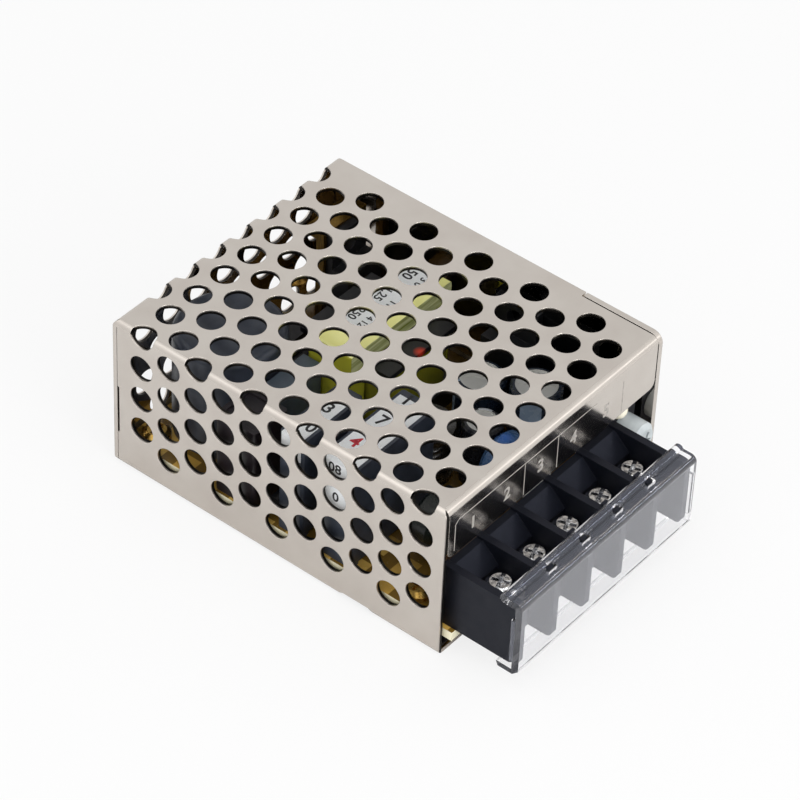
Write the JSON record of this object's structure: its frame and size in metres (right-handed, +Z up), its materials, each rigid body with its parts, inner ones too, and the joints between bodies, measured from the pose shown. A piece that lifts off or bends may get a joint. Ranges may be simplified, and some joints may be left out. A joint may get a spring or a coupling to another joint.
{
  "type": "mesh case switching power supply",
  "caption": "Small enclosed power supply in a folded, perforated steel case with a flap over the front, a barrier terminal block with screw clamps and a hinged clear cover.",
  "frame": {"origin": "on the underside of the case, at the middle of the case's length and width", "axes": "terminals face -Y, +X is to the right seen from the terminals, +Z is up out of the perforated top"},
  "size_m": [0.051, 0.0756, 0.028],
  "materials": {
    "case_steel": "nickel plated sheet steel, fine brushed grain",
    "screw_steel": "nickel plated screw steel",
    "contact_metal": "tinned contact metal",
    "film_black": "thin black insulating film",
    "board_laminate": "golden laminate with clear lacquer",
    "solder": "dull solder",
    "terminal_plastic": "black moulded plastic",
    "clear_plastic": "clear moulded plastic",
    "blue_plastic": "blue moulded plastic",
    "pale_plastic": "pale moulded plastic",
    "lamp_lens": "diffused lens plastic",
    "ferrite": "dark sintered ferrite",
    "black_plastic": "black component plastic",
    "yellow_tape": "yellow insulating tape",
    "label_white": "plain paper label",
    "sleeve_dark": "shrunk plastic sleeve",
    "fuse_brown": "brown fuse case",
    "dark_green": "dark green coating",
    "sink_black": "black finished aluminium",
    "sink_bare": "bare aluminium",
    "enamel_wire": "olive enamelled wire",
    "blue_epoxy": "blue dipped coating",
    "resistor_body": "beige lacquer"
  },
  "bodies": {
    "housing": {"folded_mesh_case": "case_steel", "side_plate": "case_steel", "case_screws": "screw_steel", "insulating_film": "film_black", "board_standoffs": "screw_steel", "board_screws": "screw_steel", "circuit_board": "board_laminate", "solder_joints": "solder", "terminal_block": "terminal_plastic", "contact_plate_1": "contact_metal", "contact_plate_2": "contact_metal", "contact_plate_3": "contact_metal", "contact_plate_4": "contact_metal", "contact_plate_5": "contact_metal", "trimmer_body": "blue_plastic", "indicator_lamp": "lamp_lens", "transformer_core": "ferrite", "transformer_bobbin": "black_plastic", "transformer_winding": "yellow_tape", "transformer_tape": "yellow_tape", "transformer_label": "label_white", "line_filter": "black_plastic", "bulk_capacitor": "sleeve_dark", "filter_capacitor": "black_plastic", "filter_capacitor_label": "label_white", "suppression_capacitor": "black_plastic", "suppression_capacitor_label": "label_white", "bridge_rectifier": "black_plastic", "mains_fuse": "fuse_brown", "inrush_limiter": "dark_green", "switching_transistor": "black_plastic", "transistor_heatsink": "sink_black", "control_chip": "black_plastic", "optocoupler": "pale_plastic", "output_diode": "black_plastic", "diode_heatsink": "sink_bare", "output_choke": "enamel_wire", "output_capacitor_1": "sleeve_dark", "output_capacitor_2": "sleeve_dark", "auxiliary_capacitor": "sleeve_dark", "disc_capacitor": "blue_epoxy", "resistors": "resistor_body", "small_diodes": "black_plastic"},
    "cover": {"terminal_cover": "clear_plastic"},
    "trimmer": {"trimmer_knob": "pale_plastic"},
    "clamp_1": {"clamp_washer_1": "screw_steel"},
    "screw_1": {"terminal_screw_1": "screw_steel"},
    "clamp_2": {"clamp_washer_2": "screw_steel"},
    "screw_2": {"terminal_screw_2": "screw_steel"},
    "clamp_3": {"clamp_washer_3": "screw_steel"},
    "screw_3": {"terminal_screw_3": "screw_steel"},
    "clamp_4": {"clamp_washer_4": "screw_steel"},
    "screw_4": {"terminal_screw_4": "screw_steel"},
    "clamp_5": {"clamp_washer_5": "screw_steel"},
    "screw_5": {"terminal_screw_5": "screw_steel"}
  },
  "joints": [
    {"name": "cover_hinge", "type": "hinge", "parent": "housing", "child": "cover", "pos_m": [-0.0034, -0.0412, 0.017], "axis": [-1, 0, 0], "range_deg": [0, 150]},
    {"name": "clamp_lift_1", "type": "slide", "parent": "housing", "child": "clamp_1", "axis": [0, 0, 1], "range_m": [0, 0.0025]},
    {"name": "screw_turn_1", "type": "hinge", "parent": "clamp_1", "child": "screw_1", "pos_m": [-0.019, -0.0367, 0.013], "axis": [0, 0, 1], "range_deg": [0, 1800]},
    {"name": "clamp_lift_2", "type": "slide", "parent": "housing", "child": "clamp_2", "axis": [0, 0, 1], "range_m": [0, 0.0025]},
    {"name": "screw_turn_2", "type": "hinge", "parent": "clamp_2", "child": "screw_2", "pos_m": [-0.0112, -0.0367, 0.013], "axis": [0, 0, 1], "range_deg": [0, 1800]},
    {"name": "clamp_lift_3", "type": "slide", "parent": "housing", "child": "clamp_3", "axis": [0, 0, 1], "range_m": [0, 0.0025]},
    {"name": "screw_turn_3", "type": "hinge", "parent": "clamp_3", "child": "screw_3", "pos_m": [-0.0034, -0.0367, 0.013], "axis": [0, 0, 1], "range_deg": [0, 1800]},
    {"name": "clamp_lift_4", "type": "slide", "parent": "housing", "child": "clamp_4", "axis": [0, 0, 1], "range_m": [0, 0.0025]},
    {"name": "screw_turn_4", "type": "hinge", "parent": "clamp_4", "child": "screw_4", "pos_m": [0.0044, -0.0367, 0.013], "axis": [0, 0, 1], "range_deg": [0, 1800]},
    {"name": "clamp_lift_5", "type": "slide", "parent": "housing", "child": "clamp_5", "axis": [0, 0, 1], "range_m": [0, 0.0025]},
    {"name": "screw_turn_5", "type": "hinge", "parent": "clamp_5", "child": "screw_5", "pos_m": [0.0122, -0.0367, 0.013], "axis": [0, 0, 1], "range_deg": [0, 1800]},
    {"name": "trimmer_turn", "type": "hinge", "parent": "housing", "child": "trimmer", "pos_m": [0.0205, -0.031, 0.0114], "axis": [0, -1, 0], "range_deg": [-135, 135]}
  ],
  "couplings": [
    {"joint": "screw_turn_1", "follows": "clamp_lift_1", "rad_per_m": 12566},
    {"joint": "screw_turn_2", "follows": "clamp_lift_2", "rad_per_m": 12566},
    {"joint": "screw_turn_3", "follows": "clamp_lift_3", "rad_per_m": 12566},
    {"joint": "screw_turn_4", "follows": "clamp_lift_4", "rad_per_m": 12566},
    {"joint": "screw_turn_5", "follows": "clamp_lift_5", "rad_per_m": 12566}
  ]
}
